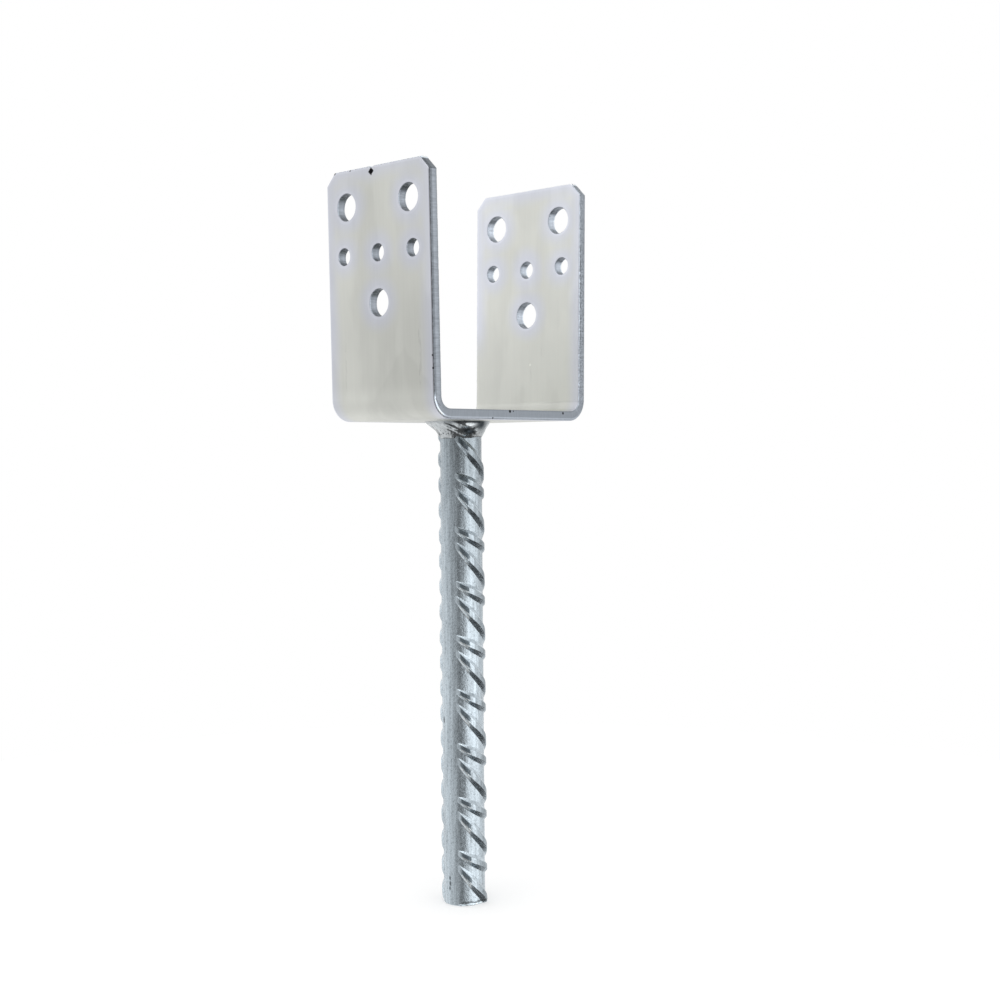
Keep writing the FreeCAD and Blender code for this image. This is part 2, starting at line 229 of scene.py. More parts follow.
class Shader:
    """The emptied node tree of a material or a world."""

    def __init__(self, owner):
        owner.use_nodes = True
        self.tree = owner.node_tree
        self.tree.nodes.clear()

    def node(self, kind, settings=None, inputs=None):
        """Add a node: its settings first, then the values or links of its sockets."""
        made = self.tree.nodes.new(kind)
        for name, value in (settings or {}).items():
            if name == "stops":
                self.set_stops(made.color_ramp, value)
            else:
                setattr(made, name, value)
        for name, value in (inputs or {}).items():
            if isinstance(value, Field):
                self.tree.links.new(value.socket, made.inputs[name])
            else:
                made.inputs[name].default_value = value
        return made

    @staticmethod
    def set_stops(ramp, stops):
        """Give a ramp its stops, as pairs of a place and a grey."""
        while len(ramp.elements) < len(stops):
            ramp.elements.new(1.0)
        for element, (place, grey) in zip(ramp.elements, stops):
            element.position = place
            element.color = (grey, grey, grey, 1.0)

    def field(self, kind, output, settings=None, inputs=None):
        """Add a node and hand on one of its outputs."""
        return Field(self, self.node(kind, settings, inputs).outputs[output])

    def math(self, operation, *values):
        return self.field("ShaderNodeMath", 0, {"operation": operation}, dict(enumerate(values)))

    def curve(self, value, stops):
        """A grey that follows a value through stops, each a pair of a place and a grey."""
        return self.field("ShaderNodeValToRGB", 0, {"stops": stops}, {0: value})

    def place(self):
        """The place on the object."""
        return self.field("ShaderNodeTexCoord", "Object")

    def parts(self, vector):
        """The x, y and z of a vector."""
        made = self.node("ShaderNodeSeparateXYZ", None, {0: vector})
        return [Field(self, output) for output in made.outputs]

    def axes(self, place):
        """The x, y and z of a place, in millimetres."""
        return [part / MM for part in self.parts(place)]

    def vector(self, *parts):
        return self.field("ShaderNodeCombineXYZ", 0, None, dict(enumerate(parts)))

    def stretch(self, vector, scale):
        return self.field("ShaderNodeVectorMath", 0, {"operation": "MULTIPLY"},
                          {0: vector, 1: scale})

    def noise(self, vector, scale, detail=2.0, roughness=0.5, upright=None):
        """Smooth noise between 0 and 1, with scale waves in a metre and a share of them
        upright."""
        if upright:
            vector = self.stretch(vector, (1.0, 1.0, upright))
        return self.field("ShaderNodeTexNoise", 0, None,
                          {"Vector": vector, "Scale": scale, "Detail": detail,
                           "Roughness": roughness})

    def attributes(self, *names):
        return [self.field("ShaderNodeAttribute", "Fac", {"attribute_name": name})
                for name in names]

    def lengths(self, *names):
        """Attributes that are lengths, in millimetres."""
        return [value / MM for value in self.attributes(*names)]

    def ray(self, kind):
        """1 for one kind of ray and 0 for the others."""
        return self.field("ShaderNodeLightPath", f"Is {kind} Ray")

    def mix(self, factor, first, second):
        """Blend two colours, each a triple or a field."""
        ends = [value if isinstance(value, Field) else (*value, 1.0) for value in (first, second)]
        return self.field("ShaderNodeMix", 2, {"data_type": "RGBA"},
                          {0: factor, 6: ends[0], 7: ends[1]})

    def blend(self, factor, first, second):
        """Blend two surfaces."""
        return self.field("ShaderNodeMixShader", 0, None, {0: factor, 1: first, 2: second})

    def shade(self, tint, factor):
        """Multiply a colour by a number."""
        return self.field("ShaderNodeVectorMath", 0, {"operation": "SCALE"},
                          {0: tint, "Scale": factor})

    def bump(self, height, strength, distance, normal=None):
        inputs = {"Height": height, "Strength": strength, "Distance": distance}
        if normal:
            inputs["Normal"] = normal
        return self.field("ShaderNodeBump", 0, None, inputs)

    def spot(self, place, centre, radius):
        """A soft round spot: 1 at the centre, 0 from its radius on, sizes in millimetres."""
        apart = self.field("ShaderNodeVectorMath", "Value", {"operation": "DISTANCE"},
                           {0: place, 1: Vector(centre) * MM})
        return apart.ramp(radius * MM, radius * 0.45 * MM)

    def finish_metal(self, tint, roughness, normal):
        """Close the tree with a metal surface."""
        surface = self.field("ShaderNodeBsdfPrincipled", 0, None,
                             {"Base Color": tint, "Metallic": 1.0, "Roughness": roughness,
                              "Normal": normal})
        self.node("ShaderNodeOutputMaterial", None, {"Surface": surface})


def new_material(name):
    """Add a material and the shader that fills its tree."""
    material = bpy.data.materials.new(name)
    return material, Shader(material)


# Mesh helpers

def wavy(points, scale, seed):
    """Smooth noise between -1 and 1 at points, with scale lattice cells in a metre."""
    size, shift = 32, 1000.0
    lattice = np.random.RandomState(seed).uniform(-1, 1, (size, size, size))
    place = np.asarray(points) * scale + shift
    cell = np.floor(place).astype(int)
    part = place - cell
    part = part * part * (3 - 2 * part)
    total = np.zeros(len(place))
    for corner in np.ndindex(2, 2, 2):
        weight = np.prod(np.where(corner, part, 1 - part), axis=1)
        index = (cell + corner) % size
        total += weight * lattice[index[:, 0], index[:, 1], index[:, 2]]
    return total


def add_piece(name, shape, material, node):
    """Make a smooth mesh piece that stands for a node of the frame."""
    points, faces, attributes = shape
    mesh = bpy.data.meshes.new(name)
    mesh.from_pydata(points.tolist(), [], faces)
    mesh.validate()
    for label, values in attributes.items():
        data = mesh.attributes.new(label, "FLOAT", "POINT").data
        data.foreach_set("value", np.asarray(values, np.float32))
    mesh.polygons.foreach_set("use_smooth", [True] * len(mesh.polygons))
    mesh.materials.append(material)
    piece = bpy.data.objects.new(name, mesh)
    bpy.context.scene.collection.objects.link(piece)
    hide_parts(node)
    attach(piece, "root")


def strip_faces(first, second):
    """Quads between two closed rows of point numbers of equal length."""
    count = len(first)
    return [(first[i], first[(i + 1) % count], second[(i + 1) % count], second[i])
            for i in range(count)]


def grid_faces(numbers):
    """Quads between the closed rows of a grid of point numbers, first row on top."""
    return [face for upper, lower in zip(numbers, numbers[1:])
            for face in strip_faces(lower, upper)]


def rays(turn):
    """Directions in the plane, by their angles."""
    return np.stack([np.cos(turn), np.sin(turn)], axis=1)


def spun(ways, radius, height):
    """Points at a radius and a height along directions from the bar's axis."""
    return np.column_stack([ways * np.reshape(radius, (-1, 1)), height + np.zeros(len(ways))])


def soft_ramp(value, reach):
    """0 below -reach, the value itself above reach, and a rounded corner between."""
    rounded = (value + reach) ** 2 / (4 * reach)
    return np.where(value < -reach, 0.0, np.where(value > reach, value, rounded))


# Folded strap

# Cross section of a cut edge, in millimetres: depth below the inner face and how far the
# edge draws back there, from the torn part over the smooth shear to the rolled outer rim.
# The layers are written for a plate of PLATE thickness.
OUTLINE_LAYERS = ((0, 1), (0, 0.3), (0.03, 0.16), (0.1, 0.09), (0.4, 0.06), (0.75, 0.03),
                  (0.9, 0), (1.7, 0), (2.5, 0), (2.9, 0.01), (3.2, 0.06), (3.5, 0.16),
                  (3.7, 0.27), (3.85, 0.41), (3.94, 0.55), (3.985, 0.7), (4, 0.9), (4, 1.2),
                  (4, 2))
HOLE_LAYERS = ((0, 1), (0, 0.3), (0.05, 0.16), (0.15, 0.06), (0.3, 0), (0.6, 0),
               (1.5, 0), (2.6, 0), (3.1, 0), (3.6, 0), (3.9, 0.01), (3.97, 0.04),
               (4, 0.09), (4, 0.15), (4, 0.8))
PLATE = 4

# The torn part ends at this depth. Its teeth: height in millimetres, waves in a metre and
# seed, with hollows no deeper than TEAR_FLOOR of the height
TORN_TO = 0.8
TEARS = ((0.05, 900, 0), (0.03, 300, 1))
TEAR_FLOOR = -0.3

# Spacing of the mesh round the strap and on its faces, and how far the points of the faces
# stay away from the outline and from the holes
OUTLINE_STEP, HOLE_POINTS = 0.7 * MM, 72
FACE_STEP, BEND_ROWS, FACE_COLUMNS = 2.5 * MM, 19, 23
RIM_MARGIN, HOLE_MARGIN = 3 * MM, 2 * MM
SMALLEST_FACE = 0.002

# Nick at the top edge of the left flange: place across and half width, how near the rim it
# stays, and the start and length of its fade below the top
NICK_PLACE, NICK_WIDE, NICK_RIM = 3 * MM, 0.8 * MM, 0.9 * MM
NICK_START, NICK_FADE = 3 * MM, 1.5 * MM

# Brightness across a cut edge, from the inner face to the outer one, as places and half
# the factor on the zinc: on the left flange, at the seat and on the right flange. The bands are
# partly the real torn, sheared and rolled zones of the cut and partly painted light and shade,
# which differ between the flanges and the seat
EDGE_BANDS = (((0, 0.26), (0.06, 0.26), (0.1, 0.47), (0.62, 0.45), (0.7, 0.28), (1, 0.23)),
              ((0, 0.32), (0.1, 0.34), (0.17, 0.37), (0.7, 0.39), (0.78, 0.66), (1, 0.78)),
              ((0, 0.9), (0.1, 0.85), (0.18, 0.46), (0.85, 0.5), (0.92, 0.38), (1, 0.3)))

# Painted light and shade on the flanges, as slow steps of brightness: flange, axis, start and
# end of the step in millimetres, and the change after it
LEFT, RIGHT = 0, 1
PAINTED_LIGHT_STEPS = ((RIGHT, 2, 10, 60, 0.09), (RIGHT, 1, -5, 30, 0.1), (RIGHT, 2, 6, 3, -0.05),
          (RIGHT, 2, 60, 20, -0.04), (LEFT, 2, 60, 20, -0.07), (LEFT, 2, 11, 3, 0.09))

# Rubbed vertical lines: flange, place across, lower and upper end and half width in
# millimetres, and how much they darken
RUBBED_LINES = ((LEFT, 20.5, 6, 34, 0.7, 0.07), (LEFT, -22.7, 6, 34, 1.1, 0.09),
                (RIGHT, -2.8, 13, 22, 0.7, 0.09), (RIGHT, -1.1, 26, 34, 0.6, 0.04),
                (RIGHT, -8.7, 22, 31, 0.5, 0.05))

# Small dark dots on the strap: centre and radius in millimetres
STRAP_DOTS = (((-45.7, 24.8, 95.5), 0.8), ((-45.7, 15.3, 95.5), 0.6), ((-44.5, -29.6, 20.1), 0.6),
              ((0.0, -30.0, -0.5), 0.4), ((-2.0, -30.0, -0.6), 0.8), ((-11.9, -30.0, -3.4), 0.5),
              ((30.1, -30.0, -0.9), 0.7), ((-44.3, -29.8, 15.2), 0.7))
RUBBED_SPOT = ((40.4, -2.3, 20.8), 0.7)


class Fold:
    """Maps the flat strap onto the folded one."""

    def __init__(self, sizes):
        self.sizes = sizes
        self.turn = math.pi / 2 - sizes.lean
        self.setback = sizes.bend * math.tan(self.turn / 2)
        self.bend_start = sizes.seat / 2 - self.setback
        self.bend_length = self.turn * (sizes.bend + sizes.thickness / 2)
        self.bend_end = self.bend_start + self.bend_length
        self.half = self.bend_end + sizes.flange - self.setback

    def along(self, height):
        """Place along the flat strap of a height on a flange's inner face."""
        return self.bend_end + height - self.setback

    def corner_distance(self, along, across):
        """How far places lie inside the cuts at the flat strap's corners, times root two."""
        reach = self.half + self.sizes.width / 2 - self.sizes.corner
        return reach - np.abs(along) - np.abs(across)

    def place(self, along, across, depth):
        """Points of the folded strap, from places on the flat one and depths below its face."""
        bend = self.sizes.bend
        reach = np.abs(along)
        turned = np.clip((reach - self.bend_start) / self.bend_length, 0, 1) * self.turn
        flat = np.minimum(reach, self.bend_start)
        up = np.maximum(reach - self.bend_end, 0)
        x = flat + (bend + depth) * np.sin(turned) + up * math.cos(self.turn)
        z = bend - (bend + depth) * np.cos(turned) + up * math.sin(self.turn)
        return np.stack([np.sign(along) * x, across, z], axis=1)


def flange_holes(fold):
    """Centre along and across the flat strap and radius of every punched hole."""
    holes = []
    for mount in frame["record"]["mounts"]:
        if mount["kind"] != "bore":
            continue
        x, y, z = mount["pos_m"]
        lean = fold.sizes.lean
        height = (z + (abs(x) - fold.sizes.seat / 2) * math.tan(lean)) * math.cos(lean)
        holes.append((math.copysign(fold.along(height), x), y, mount["dims"]["r_mm"] * MM))
    return holes


def outline_loop(fold):
    """Points round the flat strap and the inward direction at each of them."""
    half, side, cut = fold.half, fold.sizes.width / 2, fold.sizes.corner
    corners = [(-half + cut, -side), (half - cut, -side), (half, -side + cut),
               (half, side - cut), (half - cut, side), (-half + cut, side),
               (-half, side - cut), (-half, -side + cut)]
    corners = [Vector(corner) for corner in corners]
    following = corners[1:] + corners[:1]
    normals = [(end - start).normalized().orthogonal() for start, end in zip(corners, following)]
    mitres = []
    for before, after in zip(normals[-1:] + normals[:-1], normals):
        mitre = (before + after).normalized()
        mitres.append(mitre / mitre.dot(after))
    points, inward = [], []
    for start, end, first, last in zip(corners, following, mitres, mitres[1:] + mitres[:1]):
        pieces = round((end - start).length / OUTLINE_STEP)
        for k in range(pieces):
            points.append(start.lerp(end, k / pieces))
            inward.append(first.lerp(last, k / pieces))
    return np.array(points), np.array(inward)


def hole_loop(hole):
    """Points round a hole and the direction away from its middle at each of them."""
    along, across, radius = hole
    turn = np.linspace(0, 2 * math.pi, HOLE_POINTS, endpoint=False)
    outward = rays(turn)
    return np.array([along, across]) + radius * outward, outward


def inner_points(fold, holes):
    """Places inside the flat strap that carry its faint waves and its folds."""
    side = fold.sizes.width / 2
    flat = np.arange(0, fold.bend_start, FACE_STEP)
    bend = np.linspace(fold.bend_start, fold.bend_end, BEND_ROWS)
    flange = np.arange(fold.bend_end + FACE_STEP, fold.half - FACE_STEP, FACE_STEP)
    rows = np.concatenate([flat, bend, flange])
    rows = np.concatenate([-rows[:0:-1], rows])
    columns = np.linspace(-side + RIM_MARGIN, side - RIM_MARGIN, FACE_COLUMNS)
    along, across = [grid.ravel() for grid in np.meshgrid(rows, columns)]
    keep = fold.corner_distance(along, across) > RIM_MARGIN
    for centre, middle, radius in holes:
        keep &= np.hypot(along - centre, across - middle) > radius + HOLE_MARGIN
    return np.stack([along[keep], across[keep]], axis=1)


def fill_face(loops, inside, holes, margin):
    """Triangles between the loops, as numbers into the loops' points and then the inside."""
    points = np.concatenate(loops + [inside])
    edges, start = [], 0
    for loop in loops:
        numbers = range(start, start + len(loop))
        edges += list(zip(numbers, [*numbers[1:], numbers[0]]))
        start += len(loop)
    made = delaunay_2d_cdt([Vector(p / MM) for p in points], edges, [], 0, 1e-6)
    source = [origin[0] for origin in made[3]]
    faces = []
    for triangle in made[2]:
        numbers = [source[i] for i in triangle]
        first, second, third = points[numbers] / MM
        size = abs(np.linalg.det([second - first, third - first]))
        middle = points[numbers].mean(axis=0)
        inside_hole = any(math.hypot(middle[0] - a, middle[1] - b) < r + margin
                          for a, b, r in holes)
        if size > SMALLEST_FACE and not inside_hole:
            faces.append(numbers)
    return faces


def rim_distance(along, across, fold, holes):
    """Distance of places on the flat strap from the nearest cut edge."""
    nearest = np.minimum(fold.sizes.width / 2 - np.abs(across), fold.half - np.abs(along))
    nearest = np.minimum(nearest, fold.corner_distance(along, across) / math.sqrt(2))
    for centre, middle, radius in holes:
        away = np.abs(np.hypot(along - centre, across - middle) - radius)
        nearest = np.minimum(nearest, away)
    return np.maximum(nearest, 0)


def wall_points(points, inward, layers, seed):
    """Rings of a cut edge: for each layer its places, its depth and whether it is wall."""
    rings = []
    for depth, back in layers:
        ragged = np.zeros(len(points))
        if 0 < depth < TORN_TO:
            spots = np.column_stack([points, np.full(len(points), depth * MM)])
            for height, waves, extra in TEARS:
                ragged += height * np.maximum(wavy(spots, waves, seed + extra), TEAR_FLOOR)
        drawn = np.maximum(back + ragged, 0) * MM
        rings.append((points + inward * drawn[:, None], depth * MM, 0 < depth < PLATE))
    return rings


def make_strap_mesh(fold, holes):
    """Points, faces and attributes of the folded strap."""
    sizes = fold.sizes
    loops = [(*outline_loop(fold), OUTLINE_LAYERS)]
    loops += [(*hole_loop(hole), HOLE_LAYERS) for hole in holes]
    rows, faces, rims, start = [], [], [], 0
    for seed, (points, inward, layers) in enumerate(loops):
        bore = np.full(len(points), float(seed > 0))
        rise = np.abs(inward[:, 0]) * bore
        numbers = []
        for ring, depth, wall in wall_points(points, inward, layers, 10 * seed):
            rows.append(np.column_stack([ring, bore * 0 + depth, bore * 0 + wall, bore, rise]))
            numbers.append(list(range(start, start + len(ring))))
            start += len(ring)
        for first, second in zip(numbers, numbers[1:]):
            quads = strip_faces(first, second)
            faces += quads if seed else [quad[::-1] for quad in quads]
        rims.append((numbers[0], numbers[-1]))

    inside = inner_points(fold, holes)
    flat = np.concatenate(rows)[:, :2]
    for end, depth in ((0, 0.0), (-1, sizes.thickness)):
        outer = [rim[end] for rim in rims]
        lookup = [number for numbers in outer for number in numbers]
        lookup += range(start, start + len(inside))
        start += len(inside)
        rows.append(np.column_stack([inside, np.zeros((len(inside), 4)) + (depth, 0, 0, 0)]))
        loop_points = [flat[numbers] for numbers in outer]
        for face in fill_face(loop_points, inside, holes, HOLE_LAYERS[end][1] * MM):
            numbers = [lookup[i] for i in face]
            faces.append(numbers[::-1] if end else numbers)

    along, across, depth, wall, bore, rise = np.concatenate(rows).T
    depth = depth * (sizes.thickness / (PLATE * MM))
    rim = rim_distance(along, across, fold, holes)

    # Faint waves sink the faces away from their rims and from the weld, and the nick sinks
    # the top edge of the left flange
    clear = np.clip((rim - 2.2 * MM) / (5 * MM), 0, 1)
    clear = clear * np.clip((np.abs(along) - 10 * MM) / (8 * MM), 0, 1)
    wave = 0.5 - 0.5 * wavy(np.column_stack([along, across, depth * 3]), 55, 71)
    sunk = sizes.unevenness * wave * clear
    sunk_depth = depth + np.where(depth < sizes.thickness / 2, sunk, -sunk)
    nick = np.exp(-((across - NICK_PLACE) / NICK_WIDE) ** 2) * (rim < NICK_RIM) * (along < 0)
    nick = nick * np.clip((np.abs(along) - fold.half + NICK_START) / NICK_FADE, 0, 1)
    points = fold.place(along + sizes.nick * nick, across, sunk_depth)
    return points, faces, {"along": along, "across": across, "depth": depth, "rim": rim,
                           "wall": wall, "bore": bore, "rise": rise}


def face_light(shader, place, axes, flanges, clouds, streaks):
    """Brightness of the strap's faces, with painted light and shade on the flanges, and the cloudy
    patch low on the left flange.
    """
    y, z = axes[1:]
    left, right = flanges
    broad = shader.noise(place, 17.0, 1.0, upright=0.35)
    patches = shader.noise(place, 75.0, upright=0.35)
    light = 0.94 + clouds.swing(0.22) + broad.swing(0.3) + streaks.swing(0.05)
    # Painted light: the right flange is a little lighter, and the steps below paint light and
    # shade
    light = light + patches.ramp(0.44, 0.56).swing(0.045) + right * 0.03
    for flange, axis, start, end, change in PAINTED_LIGHT_STEPS:
        step = axes[axis].ramp(start, end)
        light = light + flanges[flange] * step * change

    # The patch lies under an uneven slanting edge, between rubbed vertical lines
    warp = shader.noise(place, 160.0).swing(5)
    peak = 24.5 - abs(y + 13.9) * 1.1 + warp
    patch = (peak - z).ramp(-1.2, 1.6) * z.ramp(0.0, 6)
    patch = patch * y.ramp(9, 0.0) * left
    light = light - patch * 0.025
    wander = shader.noise(shader.stretch(place, (0.0, 0.0, 1.0)), 220.0).swing(1.2)
    gaps = shader.noise(place, 700.0, upright=0.3).ramp(0.42, 0.6)
    for flange, where, low, high, wide, deep in RUBBED_LINES:
        line = abs(y - where + wander).ramp(wide, wide * 0.25)
        line = line * z.band(low, (low + 4), (high - 6), high)
        light = light - flanges[flange] * line * gaps * deep
    # Painted shade along the crease where the right flange's fold starts
    fold_shade = abs(z - 4.2 + warp * 0.1).ramp(0.5, 0.1)
    fold_shade = fold_shade * y.ramp(-8, -13) * right
    return light + shader.spot(place, *RUBBED_SPOT) * 0.2 - fold_shade * 0.08, patch


def edge_tint(shader, place, depth, sizes):
    """Colour of the cut edges: bands along each rim, partly painted light and shade, streaks,
    speckles and a line of pits.

    Also gives the streaks that the shears left across the edge."""
    along, across = shader.lengths("along", "across")
    bore, rise = shader.attributes("bore", "rise")
    left = along.ramp(-37, -48)
    right = along.ramp(37, 48)
    flange = left + right

    # Outline of the strap, with a painted highlight along its top and another along the rolled rim
    # of the left fold
    top = abs(along).ramp(136, 136.6)
    fold_highlight = along.band(-47.5, -45, -39.5, -37)
    fold_highlight = fold_highlight * depth.band(2.9, 3.2, 3.6, 3.8)
    level = depth / PLATE
    bands = [shader.curve(level, stops) for stops in EDGE_BANDS]
    banded = bands[0] * left + bands[2] * right + bands[1] * (1 - flange)
    # Painted shade darkens the corner cuts of the left flange, painted light lightens those of the
    # right one
    corner = (abs(along) + abs(across)).ramp(161.5, 161.8)
    banded = banded * (1 - corner * (0.3 - right * 0.45)) + top * 0.9 + fold_highlight * 0.7

    # Hole walls, striped round and darker at the ends, with painted shade on the walls of the left
    # flange's holes
    ends = rise.ramp(0.45, 0.8)
    inside = 0.52 + shader.noise(shader.vector(depth * MM, bore), 900.0) * 0.5 - ends * 0.28
    inside = inside + depth.ramp(3.3, 3.8) * 0.5
    banded = banded * (1 - bore) + bore * inside * (1 - left * 0.4)

    chatter = shader.noise(shader.vector(along, across, depth * 0.12), 1.5)
    speckled = shader.noise(place, 1500.0).ramp(0.42, 0.62)
    speckled = speckled * (right * (1 - bore) + bore * ends)
    streaked = 2.0 + (chatter - 0.5) * (0.6 + 1.2 * flange)
    edge = shader.shade(sizes.sheared, banded * streaked * (1.15 - speckled * 0.5))
    pitted = shader.noise(place, 1300.0, 1.0, upright=0.6)
    pit_line = 0.7 + left * 3.05
    pitted = pitted.ramp(0.44, 0.54) * flange * (1 - bore)
    pitted = pitted * abs(depth - pit_line).ramp(0.3, 0.12)
    return shader.mix(pitted * 0.75, edge, sizes.pit), chatter


def strap_material(sizes):
    """Pale satin zinc on the strap, bluish near its edges, with clouds and faint marks, and
    painted light, shade and highlights on its faces and cut edges.
    """
    material, shader = new_material("zinc_strap")
    place = shader.place()
    x, y, z = axes = shader.axes(place)
    depth, rim = shader.lengths("depth", "rim")
    clouds = shader.noise(place, 42.0, 3.0, upright=0.55)
    streaks = shader.noise(place, 900.0, upright=0.035)
    left = x.ramp(-43.5, -44)
    right = x.ramp(30, 36)

    # The rim's tint is missing low at the rear of the right flange
    near_rim = (rim + clouds.swing(6)).ramp(8.5, 0.3)
    low_rear = y.ramp(0.0, 20) * z.ramp(40, 20)
    tint = shader.mix(near_rim * (1 - right * low_rear), sizes.face, sizes.rim)
    light, patch = face_light(shader, place, axes, (left, right), clouds, streaks)
    # A faint painted highlight along the rolled rims, fading out 1.6 mm from them
    tint = shader.shade(tint, light + rim.ramp(1.6, 0.9) * 0.04)

    wall = shader.attributes("wall")[0].ramp(0.3, 0.8) * rim.ramp(0.5, 0.25)
    edge, chatter = edge_tint(shader, place, depth, sizes)
    tint = shader.mix(wall, tint, edge)

    # Bare contact mark under the nick, and small dark dots
    diamond = abs(y - 2.9) / 1.8 + abs(z - 93.6) / 1.7
    diamond = diamond + shader.noise(place, 1500.0).swing(0.5)
    mark = diamond.ramp(1.05, 0.75) * left
    for centre, radius in STRAP_DOTS:
        mark = mark.larger(shader.spot(place, centre, radius))
    tint = shader.mix(mark, tint, sizes.mark)

    rough = sizes.roughness + clouds.swing(0.12) + patch * 0.05 + wall * 0.02 + mark * 0.3
    height = shader.noise(place, 2600.0) * 0.5 + streaks * 0.8 + wall * chatter * 4
    waves = shader.noise(place, 120.0, 1.0, upright=0.6)
    normal = shader.bump(waves, 0.25, 0.4 * MM, shader.bump(height, 0.35, 0.04 * MM))
    shader.finish_metal(tint, rough, normal)
    return material


class POSTBASE_OT_fold_strap(bpy.types.Operator):
    """Fold the punched strap with rolled and torn edges"""

    bl_idname = "post_base.fold_strap"
    bl_label = "Folded strap"

    def execute(self, context):
        sizes = context.scene.post_base_strap
        fold = Fold(sizes)
        holes = flange_holes(fold)
        if not holes:
            raise RuntimeError("the frame states no holes for the flanges")
        add_piece("strap", make_strap_mesh(fold, holes), strap_material(sizes),
                  "folded_strap")
        return {"FINISHED"}


# Ribbed bar

# Rows of ribs: azimuth of the row in degrees, depth of its first rib and spacing in
# millimetres, and slope of its ribs in degrees. The first two share the near side.
RIB_ROWS = ((-90, 15.9, 22.24, 46), (-90, 27.02, 22.24, 27.5), (90, 1, 10.58, 36))

# A rib's crest drops this far below the core at the ends of its way round, and the rib
# stops at this part of the way
RIB_DIP, RIB_STOP = 0.12 * MM, 1.2

# Mesh of the bar: rows between two ribs, columns over a row of ribs and in a gap between
# rows, angle by which the ribs' columns run past them, and least spacing of the rows
GAP_ROWS, RIB_COLUMNS, GAP_COLUMNS = 6, 72, 8
PAST_RIBS, LEAST_STEP = math.radians(4), 0.03 * MM

# Unevenness of the rolled skin: height in millimetres, stretch, waves in a metre and seed
ROLLED = ((0.03, (1, 1, 0.15), 700, 5), (0.03, (1, 1, 1), 900, 6), (0.035, (1, 1, 1), 330, 7))
SKIN = 0.06

# Rings of the broken edge and cut face at the lower end: distance in from the skin in
# millimetres and share of the way down
BREAK_EDGE, END_DISH = 0.35 * MM, 0.05 * MM
END_RINGS = ((0.12, 0.45), (0.3, 0.8), (0.7, 0.96), (1.3, 1), (2.4, 1), (4, 1), (5.8, 1), (7.4, 1))

# Short dark marks: centre, with its height halved, and radius in millimetres
BAR_MARKS = (((-8.0, 3.2, -63.75), 1.0), ((-8.65, -0.1, -96.4), 0.6), ((-8.65, -0.2, -97.5), 0.7),
             ((-8.65, 0.0, -98.5), 0.6))


def rib_relief(azimuth, depth, sizes, bar_length):
    """Height of the ribs over the core, the side of a rib, how far round it a place is
    and where over its head."""
    relief, side, way, over = np.zeros((4, len(azimuth)))
    core = sizes.core / 2
    for middle, first, spacing, slope in RIB_ROWS:
        turn = (azimuth - math.radians(middle) + math.pi) % (2 * math.pi) - math.pi
        part = turn / (sizes.rib_spread / 2)
        crest = (sizes.rib_height + RIB_DIP) * (1 - part ** 2) - RIB_DIP
        count = math.floor((bar_length / MM - first) / spacing + 1.5)
        for k in range(count):
            line = (first + k * spacing) * MM + core * turn * math.tan(math.radians(slope))
            away = (depth - line) * math.cos(math.radians(slope))
            fall = soft_ramp(np.abs(away) - sizes.rib_head / 2, sizes.rib_round)
            height = soft_ramp(crest - fall * math.tan(sizes.rib_flank), sizes.rib_round)
            height = np.where(np.abs(part) < RIB_STOP, height, 0)
            down = np.sign(away) * np.minimum(fall / (0.2 * MM), 1)
            side = np.where(height > relief, down, side)
            way = np.where(height > relief, part, way)
            over = np.where(height > relief, away / (sizes.rib_head / 2), over)
            relief = np.maximum(relief, height)
    return relief, side, way, over


def rib_depths(turn, rows, count, sizes):
    """Depths of the mesh rows over the ribs of one side: each keeps to a head, flank or foot."""
    ribs = sorted((first + k * spacing, math.radians(slope))
                  for middle, first, spacing, slope in rows for k in range(-1, count))[:count]
    part = turn / (sizes.rib_spread / 2)
    crest = np.maximum(sizes.rib_height * (1 - part ** 2), 0)
    head, soft = sizes.rib_head / 2 + 0 * turn, sizes.rib_round
    foot = head + crest / math.tan(sizes.rib_flank)
    half = [0 * turn, head * 0.5, head - soft, head - soft / 3, head + soft / 3, head + soft,
            (head + foot) / 2, foot - 0.8 * soft, foot, foot + 0.8 * soft, foot + 0.4 * MM]
    for k in range(1, len(half)):
        half[k] = np.maximum(half[k], half[k - 1] + LEAST_STEP)
    half = np.array(half)
    section = np.concatenate([-half[:0:-1], half])
    bands = [depth * MM + sizes.core / 2 * turn * math.tan(slope) + section / math.cos(slope)
             for depth, slope in ribs]
    between = np.linspace(0, 1, GAP_ROWS + 2)[1:-1, None]
    depths = [bands[0]]
    for above, below in zip(bands, bands[1:]):
        depths += [above[-1] + between * (below[0] - above[-1]), below]
    return np.concatenate(depths)


def squeeze(depths, end):
    """Bring depths that run past the bar's ends back between them, without any crossing."""
    reach = 2 * MM
    low = np.maximum(reach - depths, 0)
    depths = np.where(depths < reach, reach ** 2 / (reach + low), depths)
    high = np.maximum(depths - end + reach, 0)
    depths = np.where(high > 0, end - reach ** 2 / (reach + high), depths)
    depths[0], depths[-1] = 0, end
    return depths


def bar_grid(sizes, end):
    """Azimuth and depth of the bar's mesh points, row by row."""
    spread = sizes.rib_spread / 2 + PAST_RIBS
    turn = np.linspace(-spread, spread, RIB_COLUMNS)
    between = np.linspace(0, 1, GAP_COLUMNS + 2)[1:-1]
    gap = spread + between * (math.pi - 2 * spread)
    near, far = RIB_ROWS[:2], RIB_ROWS[2:]
    pitch = min(row[2] / len(rows) for rows in (near, far) for row in rows)
    count = math.ceil(end / MM / pitch) + 3
    front, back = [rib_depths(turn, rows, count, sizes) for rows in (near, far)]
    right = front[:, -1:] + between * (back[:, :1] - front[:, -1:])
    left = back[:, -1:] + between * (front[:, :1] - back[:, -1:])
    depths = squeeze(np.concatenate([front, right, back, left], axis=1), end)
    columns = np.concatenate([turn - math.pi / 2, gap - math.pi / 2, turn + math.pi / 2,
                              gap + math.pi / 2])
    return columns, depths


